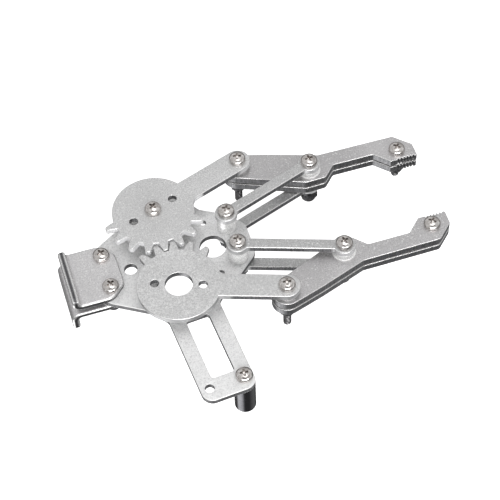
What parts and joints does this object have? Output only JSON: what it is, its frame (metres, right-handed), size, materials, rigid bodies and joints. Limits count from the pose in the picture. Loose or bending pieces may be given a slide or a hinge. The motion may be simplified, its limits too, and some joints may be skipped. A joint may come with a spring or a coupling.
{
  "type": "servo gripper claw",
  "caption": "Parallel-jaw robot claw of aluminium sheet: meshed gear arms and links carry serrated two-plate fingers, with a slotted servo arm and a rear clamp bracket.",
  "frame": {"origin": "middle of the palm plate's top face, half-way between the two gear axes", "axes": "+X towards the fingertips, +Y towards the driven gear (left), +Z out of the side that carries the gears"},
  "size_m": [0.1179, 0.0815, 0.0253],
  "materials": {
    "sheet_aluminium": "satin, fine grain, polished edges",
    "screw_steel": "nickel plated, bright",
    "nut_steel": "dark oxide",
    "spacer_metal": "bright turned",
    "dark_metal": "dark, satin"
  },
  "bodies": {
    "palm": {"palm_plate": "sheet_aluminium", "upper_rear_bracket": "sheet_aluminium", "lower_rear_bracket": "sheet_aluminium", "left_bracket_screw": "screw_steel", "left_bracket_nut": "nut_steel", "right_bracket_screw": "screw_steel", "right_bracket_nut": "nut_steel", "gear_pivot_screw": "screw_steel", "gear_pivot_spacer": "spacer_metal", "gear_pivot_nut": "nut_steel", "servo_standoff": "dark_metal", "servo_standoff_screw": "screw_steel", "left_link_base_screw": "screw_steel", "left_link_base_spacer": "spacer_metal", "left_link_base_washer": "spacer_metal", "left_link_base_nut": "nut_steel", "right_link_base_screw": "screw_steel", "right_link_base_spacer": "spacer_metal", "right_link_base_washer": "spacer_metal", "right_link_base_nut": "nut_steel"},
    "drive_arm": {"drive_gear_arm": "sheet_aluminium"},
    "driven_arm": {"driven_gear_arm": "sheet_aluminium"},
    "left_link": {"left_upper_link": "sheet_aluminium", "left_lower_link": "sheet_aluminium"},
    "right_link": {"right_upper_link": "sheet_aluminium", "right_lower_link": "sheet_aluminium"},
    "left_finger": {"left_finger_upper_plate": "sheet_aluminium", "left_finger_lower_plate": "sheet_aluminium", "left_arm_pivot_screw": "screw_steel", "left_arm_pivot_washer": "spacer_metal", "left_arm_pivot_shim": "spacer_metal", "left_arm_pivot_collar": "nut_steel", "left_arm_pivot_nut": "nut_steel", "left_link_pivot_screw": "screw_steel", "left_link_pivot_spacer": "spacer_metal", "left_link_pivot_shim": "spacer_metal", "left_link_pivot_washer": "spacer_metal", "left_link_pivot_collar": "nut_steel", "left_link_pivot_nut": "nut_steel", "left_tip_screw": "screw_steel", "left_tip_shim": "spacer_metal", "left_tip_nut": "nut_steel"},
    "right_finger": {"right_finger_upper_plate": "sheet_aluminium", "right_finger_lower_plate": "sheet_aluminium", "right_arm_pivot_screw": "screw_steel", "right_arm_pivot_washer": "spacer_metal", "right_arm_pivot_shim": "spacer_metal", "right_arm_pivot_collar": "nut_steel", "right_arm_pivot_nut": "nut_steel", "right_link_pivot_screw": "screw_steel", "right_link_pivot_spacer": "spacer_metal", "right_link_pivot_shim": "spacer_metal", "right_link_pivot_washer": "spacer_metal", "right_link_pivot_collar": "nut_steel", "right_link_pivot_nut": "nut_steel", "right_tip_screw": "screw_steel", "right_tip_shim": "spacer_metal", "right_tip_nut": "nut_steel"}
  },
  "joints": [
    {"name": "drive_gear_turn", "type": "hinge", "parent": "palm", "child": "drive_arm", "pos_m": [0, -0.0144, 0.0058], "axis": [0, 0, -1], "range_deg": [-20.5, 36]},
    {"name": "driven_gear_turn", "type": "hinge", "parent": "palm", "child": "driven_arm", "pos_m": [0, 0.0144, 0.0058], "axis": [0, 0, 1], "range_deg": [-20.5, 36]},
    {"name": "right_link_swing", "type": "hinge", "parent": "palm", "child": "right_link", "pos_m": [0.0208, -0.006, 0.0065], "axis": [0, 0, -1], "range_deg": [-20.5, 36]},
    {"name": "left_link_swing", "type": "hinge", "parent": "palm", "child": "left_link", "pos_m": [0.0208, 0.006, 0.0065], "axis": [0, 0, 1], "range_deg": [-20.5, 36]},
    {"name": "right_finger_pivot", "type": "hinge", "parent": "drive_arm", "child": "right_finger", "pos_m": [0.0302, -0.02498, 0.0042], "axis": [0, 0, 1], "range_deg": [-20.5, 36]},
    {"name": "left_finger_pivot", "type": "hinge", "parent": "driven_arm", "child": "left_finger", "pos_m": [0.0302, 0.02498, 0.0042], "axis": [0, 0, -1], "range_deg": [-20.5, 36]}
  ],
  "couplings": [
    {"joint": "driven_gear_turn", "follows": "drive_gear_turn", "ratio": 1},
    {"joint": "right_link_swing", "follows": "drive_gear_turn", "ratio": 1},
    {"joint": "left_link_swing", "follows": "drive_gear_turn", "ratio": 1},
    {"joint": "right_finger_pivot", "follows": "drive_gear_turn", "ratio": 1},
    {"joint": "left_finger_pivot", "follows": "drive_gear_turn", "ratio": 1}
  ]
}
